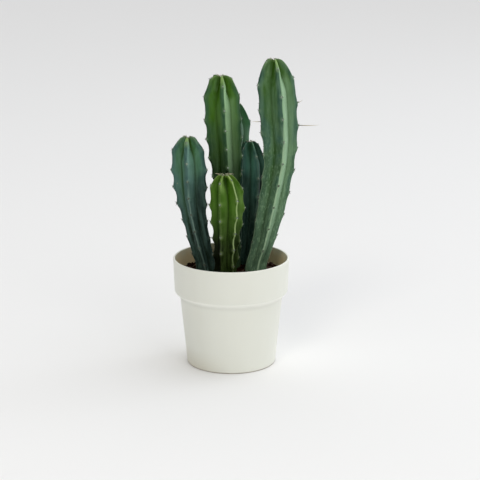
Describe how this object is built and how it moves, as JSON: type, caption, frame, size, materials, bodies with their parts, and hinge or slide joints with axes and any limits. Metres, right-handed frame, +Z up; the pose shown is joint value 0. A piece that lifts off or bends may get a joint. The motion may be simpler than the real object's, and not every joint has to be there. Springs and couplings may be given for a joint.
{
  "type": "potted blue myrtle cactus",
  "caption": "Blue myrtle cactus with upright ribbed stems and short spines, rooted in soil in a round white pot with a wide rim band.",
  "frame": {"origin": "centre of the pot's flat underside, where it stands", "axes": "+Z up along the pot's axis, -Y towards the side that shows the small front stem, +X towards the tallest stem"},
  "size_m": [0.1665, 0.1466, 0.3441],
  "materials": {
    "pot_white": "warm white, satin, very faintly textured",
    "potting_soil": "damp dark brown peat, crumbly and matte",
    "skin_blue_green": "waxy blue-green skin with a thin bloom, satin",
    "skin_green": "waxy mid green skin, paler on the rib crests, satin",
    "skin_young_green": "smooth yellow-green young skin, satin"
  },
  "bodies": {
    "root": {"pot": "pot_white", "soil": "potting_soil", "stem_left": "skin_blue_green", "stem_middle": "skin_green", "stem_front": "skin_young_green", "stem_right": "skin_green", "stem_back_right": "skin_blue_green", "stem_back": "skin_green"}
  },
  "joints": []
}
